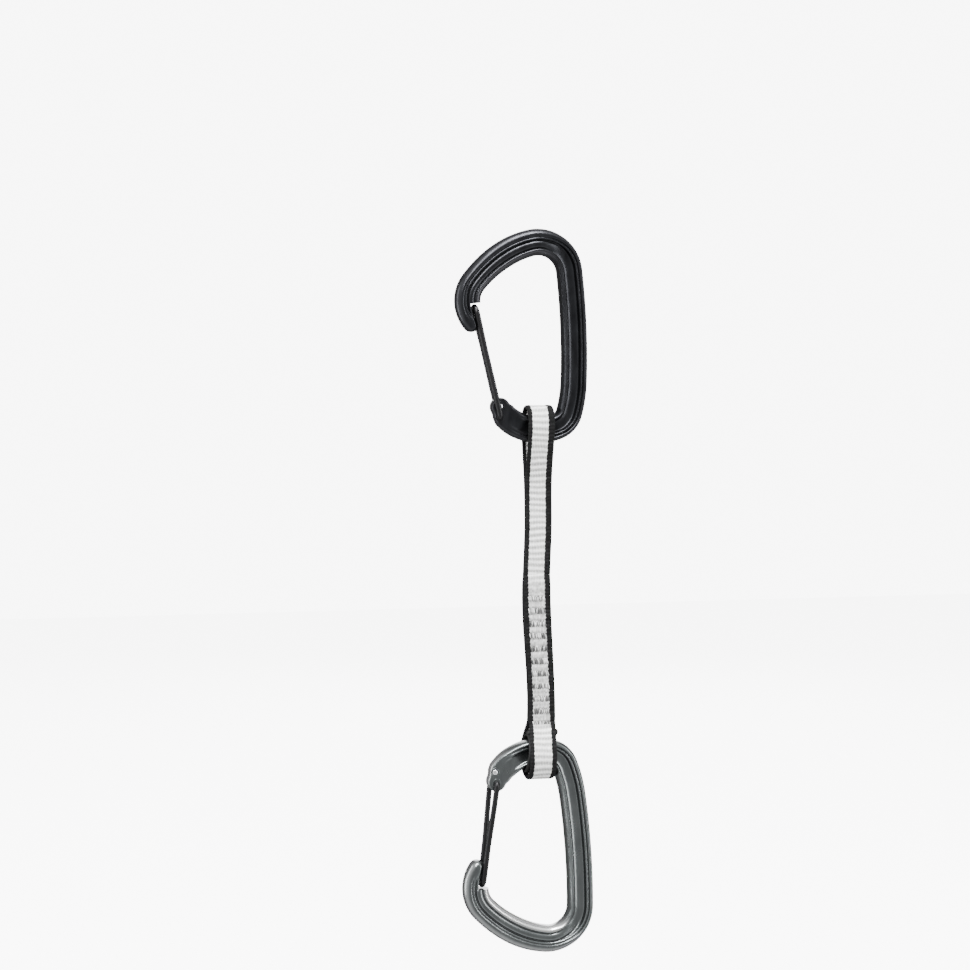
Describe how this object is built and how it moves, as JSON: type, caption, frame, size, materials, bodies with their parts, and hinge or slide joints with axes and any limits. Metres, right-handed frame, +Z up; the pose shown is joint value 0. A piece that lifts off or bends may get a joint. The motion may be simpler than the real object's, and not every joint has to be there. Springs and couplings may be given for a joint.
{
  "type": "climbing quickdraw",
  "caption": "Climbing quickdraw: a black wire-gate carabiner above and a grey one below, joined by a sewn white webbing sling with black edges and a rubber keeper.",
  "frame": {"origin": "seat of the upper carabiner's basket, on the sling's centre line, where the draw hangs from a hanger", "axes": "+X from the gates to the spines, +Y to the back (the pictured face looks along -Y), +Z up along the draw"},
  "size_m": [0.0568, 0.0194, 0.2892],
  "materials": {
    "black_anodised": "black anodised forged aluminium, satin",
    "grey_anodised": "grey anodised forged aluminium, satin",
    "black_wire": "black coated steel wire",
    "bare_wire_end": "cut wire end",
    "webbing": "white ribbed weave with black selvages",
    "thread": "zigzag bar tack thread",
    "keeper": "matt black rubber"
  },
  "bodies": {
    "upper_carabiner": {"upper_link_frame": "black_anodised", "upper_gate_rear_end": "bare_wire_end"},
    "upper_gate": {"upper_gate_wire": "black_wire"},
    "sling_top": {"sling_upper_loop": "webbing"},
    "sling_sewn": {"sling_front_ply": "webbing", "sling_back_ply": "webbing", "sling_lap_ply": "webbing", "sling_lower_loop": "webbing", "bar_tacks": "thread", "keeper_rubber": "keeper"},
    "lower_carabiner": {"lower_link_frame": "grey_anodised", "lower_gate_rear_end": "bare_wire_end"},
    "lower_gate": {"lower_gate_wire": "black_wire"}
  },
  "joints": [
    {"name": "upper_gate_hinge", "type": "hinge", "parent": "upper_carabiner", "child": "upper_gate", "pos_m": [-0.01622, 0, -0.06468], "axis": [0, 1, 0], "range_deg": [0, 33], "stiffness_Nm_per_rad": 0.4, "springref_deg": -20.05},
    {"name": "sling_rock", "type": "hinge", "parent": "upper_carabiner", "child": "sling_top", "pos_m": [0.0005, 0, -0.0492], "axis": [0, 1, 0], "range_deg": [-10, 12]},
    {"name": "sling_flex", "type": "hinge", "parent": "sling_top", "child": "sling_sewn", "pos_m": [0, 0, -0.1024], "axis": [1, 0, 0], "range_deg": [-60, 60]},
    {"name": "lower_carabiner_swing", "type": "hinge", "parent": "sling_sewn", "child": "lower_carabiner", "pos_m": [0, 0, -0.1988], "axis": [1, 0, 0], "range_deg": [-110, 110]},
    {"name": "lower_gate_hinge", "type": "hinge", "parent": "lower_carabiner", "child": "lower_gate", "pos_m": [-0.0176, 0, -0.2099], "axis": [0, -1, 0], "range_deg": [0, 33], "stiffness_Nm_per_rad": 0.4, "springref_deg": -20.05}
  ]
}
